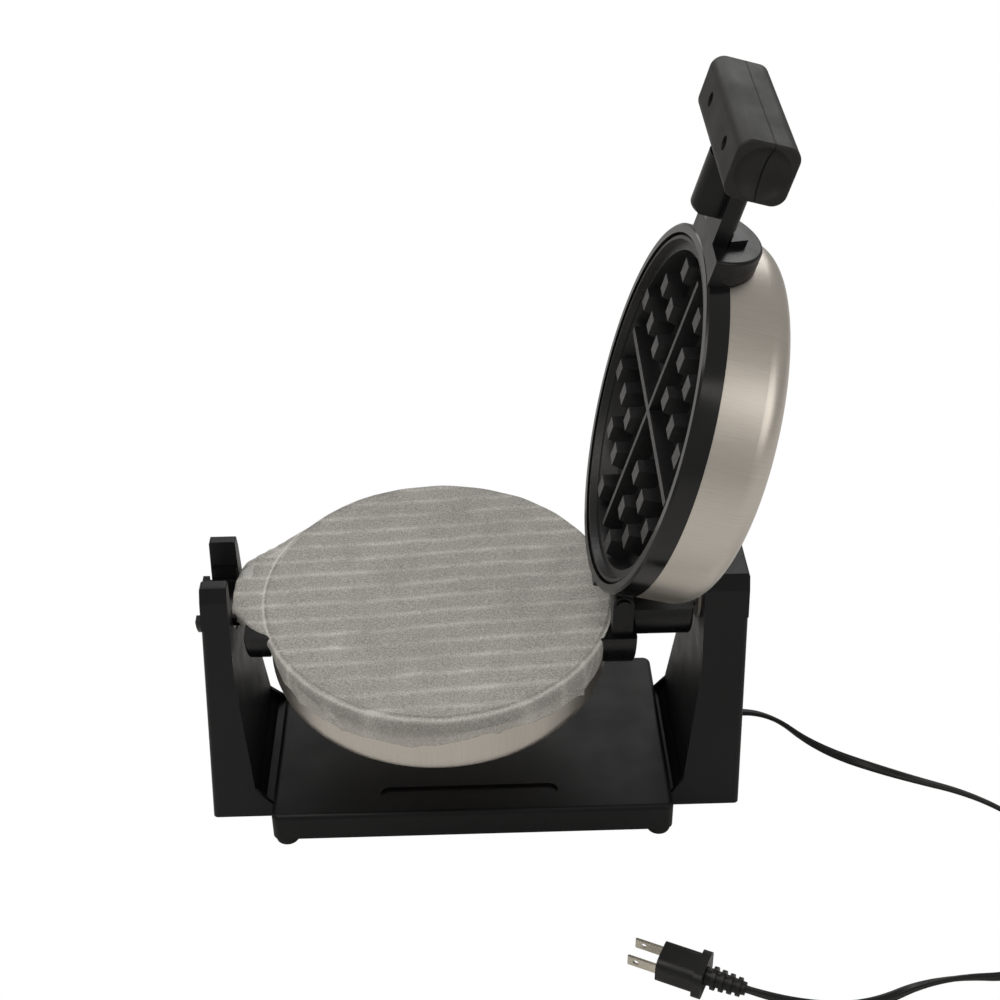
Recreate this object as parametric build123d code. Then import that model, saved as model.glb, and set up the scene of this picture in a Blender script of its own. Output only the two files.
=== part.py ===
from build123d import *
from math import acos, atan2, cos, degrees, hypot, pi, radians, sin, sqrt, tan
import os

# Rotary waffle maker. Millimetres, X to the right, Y away from the viewer, Z up.
# Origin: middle of the stand on the plane the feet rest on.

RIM_R = 102.5
HEAD_X = -17.5
HEAD_LEAN = 5.0
LID_OPEN = 105.5
PLATE_TOP = 24.0
TURN_ROOM = 7.5
AXIS_Z = PLATE_TOP + RIM_R + TURN_ROOM

FLANGE_REACH = 9.5
FORK_GAP = 8.0
TOWER_LEAN = 6.5
LEFT_TOWER_W = 15.5
OUTER_LEAN = 5.0
FLANGE_X = HEAD_X - RIM_R - FLANGE_REACH
LEFT_IN_TOP = FLANGE_X - FORK_GAP
LEFT_IN_LOW = LEFT_IN_TOP + TOWER_LEAN
LEFT_OUT_TOP = LEFT_IN_TOP - LEFT_TOWER_W
LEFT_OUT_LOW = LEFT_OUT_TOP - OUTER_LEAN

HINGE_REACH = 3.5
BOSS_ARM_REACH = 42.5
BOSS_GAP = 5.5
RIGHT_LEAN = 8.5
RIGHT_TOWER_W = 26.0
CHANNEL_W = 11.0
HINGE_X = HEAD_X + RIM_R + HINGE_REACH
BOSS_ARM_X = HINGE_X + BOSS_ARM_REACH
RIGHT_IN_TOP = BOSS_ARM_X + BOSS_GAP
RIGHT_IN_LOW = RIGHT_IN_TOP - RIGHT_LEAN
RIGHT_OUT = RIGHT_IN_TOP + RIGHT_TOWER_W
PLATE_X = -LEFT_IN_LOW - CHANNEL_W

FOOT_H = 6.0
FOOT_R = 7.0
FOOT_ROUND = 1.0
FOOT_RECESS = 3.0
FOOT_INSET = 8.0
FOOT_X = PLATE_X - FOOT_INSET
FOOT_Y = 64.0
PLATE_FRONT = 72.0
PLATE_BACK = 70.0
PLATE_CORNER = 5.0
PLATE_ROUND = 3.0
TRAY_WALL = 2.5
RIB_T = 2.0
RIB_LOW = 12.0
RIB_X_PITCH = 39.0
RIB_Y_PITCH = 36.0
FOOT_BOSS_R = 4.6
RECESS_LEN = 107.0
RECESS_W = 11.0
RECESS_DEPTH = 1.4
RECESS_AT = (-2.0, -54.5)
BASE_COVER_T = 2.0
VENT_LEN = 40.0
VENT_W = 3.0
VENT_X = (-60.0, -45.0, -30.0, 30.0, 45.0, 60.0)
PIECE_FIT = 0.3
CHANNEL_Z = 13.0

IN_BEND_Z = AXIS_Z - 34.0
TOWER_FOOT_Y = 52.0
TOWER_TOP_Y = 28.0
TOWER_TOP_Z = AXIS_Z + 26.0
SEAM_LOW = AXIS_Z - 36.5
SEAM_CAP = AXIS_Z - 0.5
CORE_Z = AXIS_Z - 32.0
COVER_WALL = 2.5
EAR_CHAMFER = 9.0
EAR_SLOPE = 3.5
EAR_ROUND = 1.5
TOWER_ROUND = 3.0
WALL_NOTCH = 5.0
CAP_ROOF = 3.0

RIM_H = 12.0
RIM_WALL = 3.0
RIM_ROUND = 1.2
RIM_WEB = 3.5
RIM_SEAT = 1.7
RIM_GAP = 2.0
RIM_FACE = 5.2
RIM_BORE = RIM_R - RIM_FACE
LEDGE_W = 6.3
LEDGE_R = RIM_BORE - LEDGE_W
LEDGE_TOP = 7.0
LEDGE_T = 2.0
SHELL_STEP = 1.0
SHELL_R = RIM_R - SHELL_STEP
SHELL_DEPTH = 49.0
SHELL_CORNER = 14.0
SHELL_T = 1.2
SHELL_LIP_W = 6.5
SHELL_LIP_R = SHELL_R - SHELL_LIP_W

GRID_FIT = 0.4
GRID_FLANGE_W = 6.3
GRID_MARGIN = 6.6
GRID_R = RIM_BORE - GRID_FIT
PAN_R = GRID_R - GRID_FLANGE_W
PAN_FLOOR = 15.0
PAN_T = 3.0
PAN_STEP = 2.0
PAN_SLOPE = 5.0
STEP_DEPTH = 5.0
BEAD_ROUND = 1.2
BEAD_W = 3.0
BEAD_TOP = 1.0
STUD_PITCH = 25.0
STUD_BASE = 14.0
STUD_H = 12.0
STUD_TAPER = 10.0
RIDGE_W = 6.5
RIDGE_H = 10.5
RIDGE_TAPER = 8.0
RIDGE_HALF = PAN_R - GRID_MARGIN
GRID_LIMIT_R = PAN_R - GRID_MARGIN
BOSS_R = 5.0
BOSS_RING = 42.0
BOSS_END = 32.0
BOSS_ANGLES = (45.0, 135.0, 225.0, 315.0)

ELEMENT_INSET = 28.6
REFLECTOR_INSET = 4.6
ELEMENT_R = PAN_R - ELEMENT_INSET
ELEMENT_ROD = 3.25
ELEMENT_ARC = 310.0
ELEMENT_START = 25.0
TERMINAL_R = 2.0
TERMINAL_LEN = 7.0
TERMINAL_CLEAR = 1.6
REFLECTOR_R = PAN_R - REFLECTOR_INSET
REFLECTOR_T = 1.0
MOUNT_T = 1.5
MOUNT_R = 50.0
MOUNT_HOLE_R = 24.0
MOUNT_ARM_START = 30.0
MOUNT_ARM_W = 14.0
SCREW_HEAD_R = 3.6
SCREW_HEAD_H = 2.2
SCREW_R = 2.0
SCREW_BITE = 10.0
SCREW_LEN = 12.0
THERMOSTAT_R = 8.0
THERMOSTAT_H = 10.0
TAB_H = 2.5
TAB_W = 3.2
TAB_T = 0.8
TAB_SPACING = 9.0

JOURNAL_R = 17.0
SADDLE_FIT = 0.08
LINER_T = 2.4
LINER_TOP = AXIS_Z + 8.0
LINER_INSET = 0.6
TROUGH_WALL = 2.6
TROUGH_STOP = 1.5
DISC_BITE = 18.5
DISC_ROOT = RIM_R - DISC_BITE
DISC_ROUND = 1.5
SHAFT_ROOT = 1.0
SHAFT_BITE = 4.0
FLANGE_R = 36.0
COLLAR_R = 20.5
COLLAR_T = 4.0
COLLAR_GAP = 1.2
UPPER_FLANGE_R = 30.0
STEM_HALF = 12.5
STEM_TOP = 11.0
STEM_ROUND = 4.0
STEM_REACH = 45.5
STEM_END = FLANGE_X - STEM_REACH
GROOVE_SETBACK = 7.0
GROOVE_X = FLANGE_X - GROOVE_SETBACK
GROOVE_W = 2.0
GROOVE_DEPTH = 1.2
WEB_TOP = 20.0
WEB_T = 3.5
TONGUE_HALF = 7.0
TONGUE_SETBACK = 11.5
TONGUE_IN = FLANGE_X - TONGUE_SETBACK
TONGUE_DROP = 16.0
TONGUE_FIT = 0.8
TONGUE_NOSE = 3.0

STEM_BITE = 3.0
GRIP_DEPTH = 30.5
GRIP_IN = STEM_END + STEM_BITE
GRIP_OUT = GRIP_IN - GRIP_DEPTH
GRIP_HALF_LEN = 48.0
GRIP_HALF_T = 15.5
GRIP_CORNER = 7.0
GRIP_END_ROUND = 1.5
GRIP_WALL = 4.0
GRIP_HOLLOW_HALF = 30.0
GRIP_BOSS_R = 4.5
GRIP_SCREW_X = GRIP_IN - 15.5
GRIP_SCREW_Y = 24.0
GRIP_SCREW_SEAT = 9.0
GRIP_SCREW_END = 9.5
DISH_R = 13.5
DISH_CENTRE = 14.0

HINGE_RISE = 22.0
HINGE_Z = AXIS_Z + HINGE_RISE
HINGE_R = 6.0
HINGE_PIN_R = 2.5
HINGE_FIT = 0.08
PIN_HEAD_R = 4.1
PIN_CLIP_R = 3.5
PIN_HEAD_T = 1.5
LUG_HALF = 28.0
KNUCKLE_GAP = 1.0
KNUCKLE_W = 12.0
BRACKET_R = 44.0
BRACKET_STEP = 8.5
BRACKET_X = HINGE_X + BRACKET_STEP
BOSS_ARM_R = 28.0
ARM_TOP = 6.0
SOCKET_WALL = 4.0
SOCKET_TOP = 9.5
TRUNNION_R = 12.0
TRUNNION_BORE = 8.0
TRUNNION_REACH = 13.5
TRUNNION_END = RIGHT_IN_TOP + TRUNNION_REACH
BUSH_R = 16.0
BUSH_FIT = 0.06
BUSH_FLANGE_R = 19.0
BUSH_FLANGE_T = 1.5
BUSH_PROUD = 3.0
RETAINER_GAP = 0.6
RETAINER_T = 2.0
RETAINER_W = 3.5

RELIEF_NECK_R = 5.2
RELIEF_FLANGE_R = 7.0
RELIEF_FLANGE_T = 2.0
RELIEF_TIP_R = 4.4
TERMINAL_REACH = 11.5
TERMINAL_X = RIGHT_IN_TOP + TERMINAL_REACH
TERMINAL_W = 16.0
TERMINAL_HALF = 14.0
TERMINAL_H = 14.0
TERMINAL_WELL_R = 2.4
TERMINAL_PITCH = 8.0

CORD_R = 3.0
CORD_Z = 3.1
RELIEF_LEN = 11.5
CORD_EXIT = (RIGHT_OUT + RELIEF_LEN, 22.0, 14.0)
CORD_STRAIGHT = 18.0
CORD_LEAD_IN = 22.0
CORD_ROUTE = [(57.5, -2.0), (99.5, -27.0), (155.5, -52.0), (187.5, -98.0),
              (184.5, -152.0), (143.5, -188.0), (87.5, -186.0), (43.5, -206.0)]
BEND_SHARE = 0.45
PLUG_TILT = (-0.90, 0.436)
PLUG_FRONT = (RIGHT_OUT - 61.5, -174.5)
PLUG_Z = 9.5
PLUG_LEN = 26.0
PLUG_W = 24.0
PLUG_H = 18.0
PLUG_WAIST = 4.0
PLUG_ROUND = 5.0
FLANGE_T = 5.0
PLUG_RELIEF = 22.0
RELIEF_END_R = 3.6
RELIEF_ROOT_R = 5.0
RELIEF_RIBS = 4
RELIEF_RIB_PITCH = 4.6
RELIEF_RIB_T = 2.2
RELIEF_RIB_R = 6.4
RELIEF_RIB_FALL = 0.4
BLADE_GAP = 12.7
BLADE_LEN = 17.0
BLADE_H = 6.35
BLADE_T = 1.5
BLADE_CHAMFER = 0.5
BLADE_HOLE_R = 1.6
BLADE_HOLE_BACK = 5.0

FILM_T = 0.5
FILM_LIFT = 0.2
FILM_OVERHANG = 1.5
FILM_R = RIM_R + FILM_OVERHANG
FILM_SKIRT = 22.0


def prism_y(points, y_front, y_back):
    face = make_face(Polyline(*points, close=True))
    return Pos(0, y_back, 0) * extrude(Plane.XZ * face, y_back - y_front)


def prism_x(points, x_start, x_end):
    face = make_face(Polyline(*points, close=True))
    return Pos(x_start, 0, 0) * extrude(Plane.YZ * face, x_end - x_start)


def block(x0, x1, y0, y1, z0, z1):
    centre = Pos((x0 + x1) / 2, (y0 + y1) / 2, (z0 + z1) / 2)
    return centre * Box(abs(x1 - x0), abs(y1 - y0), abs(z1 - z0))


def rod_x(radius, x0, x1, y=0.0, z=AXIS_Z):
    return Pos((x0 + x1) / 2, y, z) * Rot(0, 90, 0) * Cylinder(radius, abs(x1 - x0))


def rod_y(radius, y0, y1, x, z):
    return Pos(x, (y0 + y1) / 2, z) * Rot(90, 0, 0) * Cylinder(radius, abs(y1 - y0))


def rod_z(radius, z0, z1, x=0.0, y=0.0):
    return Pos(x, y, (z0 + z1) / 2) * Cylinder(radius, abs(z1 - z0))


def turned(points):
    face = make_face(Polyline(*points, close=True))
    return Pos(HEAD_X, 0, 0) * revolve(Plane.XZ * face, Axis.Z)


def level(sign, depth):
    # Height of a plane in the lower (-1) or upper (1) half, measured from its open face.
    return AXIS_Z + sign * (RIM_GAP / 2 + depth)


def around_head(radius, angle):
    return HEAD_X + radius * cos(radians(angle)), radius * sin(radians(angle))


def foot_spots():
    return [(x, y) for x in (-FOOT_X, FOOT_X) for y in (-FOOT_Y, FOOT_Y)]


def tower_side(inset, z_low, z_high):
    # Trapezoid seen from the side: wide at the foot, narrow at the saddle.
    slope = (TOWER_FOOT_Y - TOWER_TOP_Y) / (TOWER_TOP_Z - FOOT_H)
    low = TOWER_FOOT_Y - slope * (z_low - FOOT_H) - inset
    high = TOWER_FOOT_Y - slope * (z_high - FOOT_H) - inset
    return [(-low, z_low), (low, z_low), (high, z_high), (-high, z_high)]


def left_out(z):
    part = (z - FOOT_H) / (TOWER_TOP_Z - FOOT_H)
    return LEFT_OUT_LOW + part * (LEFT_OUT_TOP - LEFT_OUT_LOW)


def left_in(z):
    part = min(1.0, (z - PLATE_TOP) / (IN_BEND_Z - PLATE_TOP))
    return LEFT_IN_LOW + part * (LEFT_IN_TOP - LEFT_IN_LOW)


def right_in(z):
    part = min(1.0, (z - PLATE_TOP) / (IN_BEND_Z - PLATE_TOP))
    return RIGHT_IN_LOW + part * (RIGHT_IN_TOP - RIGHT_IN_LOW)


def left_front(z_low, z_high):
    # Front outline of the left tower between two heights.
    points = [(left_out(z_low), z_low), (left_out(z_high), z_high), (left_in(z_high), z_high)]
    if z_low < IN_BEND_Z < z_high:
        points.append((left_in(IN_BEND_Z), IN_BEND_Z))
    points.append((left_in(max(z_low, PLATE_TOP)), max(z_low, PLATE_TOP)))
    if z_low < PLATE_TOP:
        points += [(-PLATE_X, CHANNEL_Z), (-PLATE_X, z_low)]
    return points


def right_front(z_low, z_high):
    points = [(RIGHT_OUT, z_low), (RIGHT_OUT, z_high), (right_in(z_high), z_high)]
    if z_low < IN_BEND_Z < z_high:
        points.append((right_in(IN_BEND_Z), IN_BEND_Z))
    points.append((right_in(max(z_low, PLATE_TOP)), max(z_low, PLATE_TOP)))
    if z_low < PLATE_TOP:
        points += [(PLATE_X, CHANNEL_Z), (PLATE_X, z_low)]
    return points


def round_outer_corners(solid, towards):
    # Rounds the two long corners on the outer side of a tower.
    tall = [e for e in solid.edges() if abs(e.tangent_at(0.5).Z) > 0.8]
    reach = max(towards * e.center().X for e in tall)
    corners = [e for e in tall if towards * e.center().X > reach - PIECE_FIT]
    return fillet(corners, TOWER_ROUND)


def cover(front_outline, z_low, z_high, towards):
    # Tower cover: outer, front and back walls, open toward the inner wall.
    body = prism_y(front_outline(z_low, z_high), -TOWER_FOOT_Y, TOWER_FOOT_Y)
    side = tower_side(0.0, z_low, z_high)
    solid = body & prism_x(side, LEFT_OUT_LOW - COVER_WALL, RIGHT_OUT + COVER_WALL)
    solid = round_outer_corners(solid, towards)
    hollow_side = tower_side(COVER_WALL, z_low - COVER_WALL, z_high + COVER_WALL)
    if towards < 0:
        return solid - prism_x(hollow_side, left_out(z_high) + COVER_WALL, 0.0)
    return solid - prism_x(hollow_side, 0.0, RIGHT_OUT - COVER_WALL)


def inner_wall(towards, low_x, top_x):
    # Inner tower wall of the tray, from the side channel up to the cap.
    foot = low_x - towards * WALL_NOTCH
    tray_edge = towards * (PLATE_X - RIB_T / 2)
    near = [(tray_edge, CHANNEL_Z - TRAY_WALL), (tray_edge, CHANNEL_Z), (foot, CHANNEL_Z)]
    near += [(low_x - towards, CHANNEL_Z + WALL_NOTCH), (low_x, PLATE_TOP)]
    near += [(top_x, IN_BEND_Z), (top_x, SEAM_CAP)]
    far = [(top_x + towards * TRAY_WALL, SEAM_CAP), (top_x + towards * TRAY_WALL, IN_BEND_Z)]
    far += [(low_x + towards * TRAY_WALL, PLATE_TOP), (low_x + towards * TRAY_WALL, CHANNEL_Z)]
    far += [(low_x, CHANNEL_Z - TRAY_WALL)]
    return prism_y(near + far, -TOWER_FOOT_Y, TOWER_FOOT_Y)


def tray_plate():
    plate = block(-PLATE_X, PLATE_X, -PLATE_FRONT, PLATE_BACK, FOOT_H, PLATE_TOP)
    plate = fillet(plate.edges().filter_by(Axis.Z), PLATE_CORNER)
    plate = fillet(plate.faces().sort_by(Axis.Z)[-1].edges(), PLATE_ROUND)
    inside = block(-PLATE_X + TRAY_WALL, PLATE_X - TRAY_WALL, -PLATE_FRONT + TRAY_WALL,
                   PLATE_BACK - TRAY_WALL, 0.0, PLATE_TOP - TRAY_WALL)
    recess = Pos(*RECESS_AT, PLATE_TOP) * extrude(SlotOverall(RECESS_LEN, RECESS_W), -RECESS_DEPTH)
    return plate - inside - recess


def tray_ribs():
    # Crossed stiffening ribs under the plate.
    half_x = PLATE_X - TRAY_WALL / 2
    top = PLATE_TOP - TRAY_WALL / 2
    ribs = []
    for step in range(-2, 3):
        x = step * RIB_X_PITCH
        ribs.append(block(x - RIB_T / 2, x + RIB_T / 2, -PLATE_FRONT + TRAY_WALL / 2,
                          PLATE_BACK - TRAY_WALL / 2, RIB_LOW, top))
    for step in range(-1, 2):
        y = step * RIB_Y_PITCH
        ribs.append(block(-half_x, half_x, y - RIB_T / 2, y + RIB_T / 2, RIB_LOW, top))
    return ribs


def base_tray():
    # Raised plate, side channels and the two inner walls, moulded as one.
    tray = tray_plate()
    for rib in tray_ribs():
        tray += rib
    for x, y in foot_spots():
        tray += rod_z(FOOT_BOSS_R, FOOT_H + BASE_COVER_T, PLATE_TOP - TRAY_WALL / 2, x, y)
        tray -= rod_z(SCREW_R, FOOT_H, FOOT_H + SCREW_LEN, x, y)
    walls = inner_wall(-1, LEFT_IN_LOW, LEFT_IN_TOP) + inner_wall(1, RIGHT_IN_LOW, RIGHT_IN_TOP)
    side = tower_side(COVER_WALL + PIECE_FIT, CHANNEL_Z - TRAY_WALL, SEAM_CAP)
    walls = walls & prism_x(side, LEFT_OUT_LOW, RIGHT_OUT)
    walls -= rod_x(JOURNAL_R + LINER_T, LEFT_OUT_LOW, -PLATE_X)
    walls -= rod_x(BUSH_R, PLATE_X, RIGHT_OUT)
    return tray + walls


def left_tower():
    return cover(left_front, FOOT_H, SEAM_LOW, -1)


def fork_slot():
    radius = JOURNAL_R + LINER_T
    slot = rod_x(radius, LEFT_OUT_LOW, -PLATE_X)
    return slot + block(LEFT_OUT_LOW, -PLATE_X, -radius, radius, AXIS_Z, TOWER_TOP_Z + EAR_CHAMFER)


def left_upper_cover():
    return cover(left_front, SEAM_LOW, SEAM_CAP, -1) - fork_slot()


def tower_crown(x_start, x_end):
    # Tower top with sloped shoulders and a rounded crown.
    low = tower_side(0.0, SEAM_CAP, TOWER_TOP_Z)
    bend = TOWER_TOP_Z - EAR_CHAMFER
    slope = (TOWER_FOOT_Y - TOWER_TOP_Y) / (TOWER_TOP_Z - FOOT_H)
    wide = TOWER_TOP_Y + slope * EAR_CHAMFER
    crown = wide - EAR_SLOPE
    outline = [low[0], low[1], (wide, bend), (crown, TOWER_TOP_Z), (-crown, TOWER_TOP_Z), (-wide, bend)]
    return prism_x(outline, x_start, x_end)


def crown_round(solid):
    top = solid.faces().sort_by(Axis.Z)[-1]
    return fillet(top.edges(), EAR_ROUND)


def left_saddle_cap():
    # Solid forked block that carries the half shafts.
    cap = prism_y(left_front(SEAM_CAP, TOWER_TOP_Z), -TOWER_FOOT_Y, TOWER_FOOT_Y)
    cap = crown_round(cap & tower_crown(LEFT_OUT_LOW, -PLATE_X))
    gap = COVER_WALL + PIECE_FIT
    core = prism_x(tower_side(gap, CORE_Z, SEAM_CAP + TRAY_WALL),
                   left_out(SEAM_CAP) + gap, LEFT_IN_TOP - TRAY_WALL - PIECE_FIT)
    return cap + core - fork_slot()


def left_saddle_liner():
    # Heat-resistant wear liner of the fork, open at the top.
    x0 = left_out(AXIS_Z) + LINER_INSET
    x1 = LEFT_IN_TOP - LINER_INSET
    wide = JOURNAL_R + LINER_T
    bore = JOURNAL_R + SADDLE_FIT
    outer = rod_x(wide, x0, x1) + block(x0, x1, -wide, wide, AXIS_Z, LINER_TOP)
    inner = rod_x(bore, x0, x1) + block(x0, x1, -bore, bore, AXIS_Z, LINER_TOP)
    above = block(x0, x1, -wide, wide, LINER_TOP, AXIS_Z + wide)
    return outer - inner - above


def tower_floor(x_start, x_end):
    # Closing plate under a tower.
    side = tower_side(COVER_WALL + PIECE_FIT, FOOT_H, FOOT_H + BASE_COVER_T)
    return prism_x(side, x_start, x_end)


def right_tower():
    tower = cover(right_front, FOOT_H, SEAM_CAP, 1)
    exit_x, exit_y, exit_z = CORD_EXIT
    return tower - rod_x(RELIEF_NECK_R, RIGHT_OUT - 2 * COVER_WALL, RIGHT_OUT + COVER_WALL, exit_y, exit_z)


def right_tower_cap():
    # Closed cap over the trunnion bearing.
    cap = prism_y(right_front(SEAM_CAP, TOWER_TOP_Z), -TOWER_FOOT_Y, TOWER_FOOT_Y)
    cap = crown_round(cap & tower_crown(PLATE_X, RIGHT_OUT + COVER_WALL))
    wall_x = RIGHT_IN_TOP + TRAY_WALL
    roof = COVER_WALL + CAP_ROOF
    room = tower_side(roof, SEAM_CAP - COVER_WALL, TOWER_TOP_Z - roof)
    hollow = prism_x(room, wall_x, RIGHT_OUT - COVER_WALL)
    return cap - hollow - rod_x(BUSH_FLANGE_R + PIECE_FIT, PLATE_X, wall_x + TRAY_WALL)


def base_cover():
    # Flat vented plate that closes the tray from below.
    gap = TRAY_WALL + PIECE_FIT
    top = FOOT_H + BASE_COVER_T
    plate = block(-PLATE_X + gap, PLATE_X - gap, -PLATE_FRONT + gap, PLATE_BACK - gap, FOOT_H, top)
    for x, y in foot_spots():
        plate -= rod_z(SCREW_R + PIECE_FIT, 0.0, top + TRAY_WALL, x, y)
    for x in VENT_X:
        plate -= Pos(x, 0, FOOT_H) * extrude(SlotOverall(VENT_LEN, VENT_W, rotation=90), BASE_COVER_T)
    return plate


def feet():
    made = []
    for x, y in foot_spots():
        foot = rod_z(FOOT_R, 0.0, FOOT_H, x, y)
        foot = fillet(foot.edges().group_by(Axis.Z)[0], FOOT_ROUND)
        foot -= rod_z(SCREW_HEAD_R + PIECE_FIT, 0.0, FOOT_RECESS, x, y)
        made.append(foot - rod_z(SCREW_R, 0.0, FOOT_H, x, y))
    return made


def base_screws():
    made = []
    for x, y in foot_spots():
        screw = rod_z(SCREW_HEAD_R, FOOT_RECESS - SCREW_HEAD_H, FOOT_RECESS, x, y)
        made.append(screw + rod_z(SCREW_R, FOOT_RECESS - SCREW_HEAD_H / 2, FOOT_H + SCREW_LEN, x, y))
    return made


def trunnion_bush():
    x0 = RIGHT_IN_TOP - BUSH_FLANGE_T
    x1 = RIGHT_IN_TOP + TRAY_WALL + BUSH_PROUD
    bush = rod_x(BUSH_R, x0, x1) + rod_x(BUSH_FLANGE_R, x0, RIGHT_IN_TOP)
    return bush - rod_x(TRUNNION_R + BUSH_FIT, x0, x1)


def strain_relief():
    exit_x, exit_y, exit_z = CORD_EXIT
    step = RIGHT_OUT + (exit_x - RIGHT_OUT) / 2
    body = rod_x(RELIEF_NECK_R, RIGHT_OUT - 2 * COVER_WALL, step, exit_y, exit_z)
    body += rod_x(RELIEF_FLANGE_R, RIGHT_OUT, RIGHT_OUT + RELIEF_FLANGE_T, exit_y, exit_z)
    return body + rod_x(RELIEF_TIP_R, step, exit_x, exit_y, exit_z)


def terminal_block():
    # Three-way screw terminal on the floor of the right tower.
    low = FOOT_H + BASE_COVER_T
    body = block(TERMINAL_X - TERMINAL_W / 2, TERMINAL_X + TERMINAL_W / 2, -TERMINAL_HALF, TERMINAL_HALF,
                 low, low + TERMINAL_H)
    for step in (-1, 0, 1):
        y = step * TERMINAL_PITCH
        body -= rod_z(TERMINAL_WELL_R, low + TERMINAL_H / 2, low + TERMINAL_H, TERMINAL_X, y)
    return body


def rim(sign):
    # Black ring with a turned-in ledge that carries the cooking grid.
    seat_r = RIM_BORE + RIM_SEAT
    ledge = LEDGE_TOP + LEDGE_T
    points = [(RIM_BORE, 0.0), (RIM_R - RIM_ROUND, 0.0), (RIM_R, RIM_ROUND), (RIM_R, RIM_H)]
    points += [(RIM_R - RIM_WALL, RIM_H), (RIM_R - RIM_WALL, RIM_WEB), (seat_r, RIM_WEB), (seat_r, ledge)]
    points += [(LEDGE_R, ledge), (LEDGE_R, LEDGE_TOP), (RIM_BORE, LEDGE_TOP)]
    return turned([(r, level(sign, d)) for r, d in points])


def shell(sign):
    # Spun steel pan with a rounded bottom edge and a turned-in lip.
    depth = SHELL_DEPTH - RIM_H
    outer = Cylinder(SHELL_R, depth)
    outer = fillet(outer.edges().group_by(Axis.Z)[0], SHELL_CORNER)
    inner = Cylinder(SHELL_R - SHELL_T, depth - 2 * SHELL_T)
    inner = fillet(inner.edges().group_by(Axis.Z)[0], SHELL_CORNER - SHELL_T)
    pan = outer - inner - Pos(0, 0, depth / 2) * Cylinder(SHELL_LIP_R, 3 * SHELL_T)
    if sign > 0:
        pan = Rot(180, 0, 0) * pan
    return Pos(HEAD_X, 0, level(sign, RIM_H + depth / 2)) * pan


def grid_plate(sign):
    floor = PAN_FLOOR
    back = floor + PAN_T
    points = [(0.0, back), (PAN_R, back), (PAN_R, LEDGE_TOP), (GRID_R, LEDGE_TOP)]
    points += [(GRID_R, BEAD_TOP + BEAD_ROUND), (GRID_R - BEAD_ROUND, BEAD_TOP)]
    points += [(GRID_R - BEAD_W, BEAD_TOP), (GRID_R - BEAD_W - BEAD_ROUND, STEP_DEPTH)]
    points += [(PAN_R - PAN_STEP, STEP_DEPTH), (PAN_R - PAN_SLOPE, floor), (0.0, floor)]
    return turned([(r, level(sign, d)) for r, d in points])


def grid(sign):
    # Cast cooking plate: four quadrants of tapered studs around two ridges.
    plate = grid_plate(sign)
    floor_z = level(sign, PAN_FLOOR)
    flip = Rot(0, 0, 0) if sign < 0 else Rot(180, 0, 0)
    stud = extrude(Rectangle(STUD_BASE, STUD_BASE), STUD_H, taper=STUD_TAPER)
    cells = [k * STUD_PITCH for k in range(-3, 4) if k]
    for a, b in [(a, b) for a in cells for b in cells if hypot(a, b) < GRID_LIMIT_R]:
        plate += Pos(HEAD_X + a, b, floor_z) * flip * stud
    for turn in (0, 90):
        bar = extrude(Rectangle(2 * RIDGE_HALF, RIDGE_W), RIDGE_H, taper=RIDGE_TAPER)
        plate += Pos(HEAD_X, 0, floor_z) * flip * Rot(0, 0, turn) * bar
    for angle in BOSS_ANGLES:
        x, y = around_head(BOSS_RING, angle)
        plate += rod_z(BOSS_R, level(sign, PAN_FLOOR + PAN_T / 2), level(sign, BOSS_END), x, y)
        plate -= rod_z(SCREW_R, level(sign, BOSS_END - SCREW_BITE), level(sign, BOSS_END), x, y)
    return plate


def terminal_angles():
    return ELEMENT_START, ELEMENT_START + ELEMENT_ARC


def element(sign):
    # Sheathed heating rod bent to a ring, with two terminal pins.
    z = level(sign, PAN_FLOOR + PAN_T + ELEMENT_ROD)
    ring = revolve(Plane.XZ * (Pos(ELEMENT_R, 0) * Circle(ELEMENT_ROD)), Axis.Z, ELEMENT_ARC)
    part = Pos(HEAD_X, 0, z) * Rot(0, 0, ELEMENT_START) * ring
    for angle in terminal_angles():
        x, y = around_head(ELEMENT_R, angle)
        part += rod_z(TERMINAL_R, z, z + sign * TERMINAL_LEN, x, y)
        part += Pos(x, y, z) * Sphere(ELEMENT_ROD)
    return part


def reflector(sign):
    # Sheet that keeps the heat at the grid, cut clear of bosses, terminals and the sensor.
    near = PAN_FLOOR + PAN_T + 2 * ELEMENT_ROD
    z0 = level(sign, near)
    z1 = level(sign, near + REFLECTOR_T)
    plate = rod_z(REFLECTOR_R, z0, z1, HEAD_X, 0.0)
    for angle in BOSS_ANGLES:
        plate -= rod_z(BOSS_R + PIECE_FIT, z0, z1, *around_head(BOSS_RING, angle))
    for angle in terminal_angles():
        plate -= rod_z(TERMINAL_R + TERMINAL_CLEAR, z0, z1, *around_head(ELEMENT_R, angle))
    return plate - rod_z(THERMOSTAT_R + TERMINAL_CLEAR / 2, z0, z1, HEAD_X, 0.0)


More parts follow.
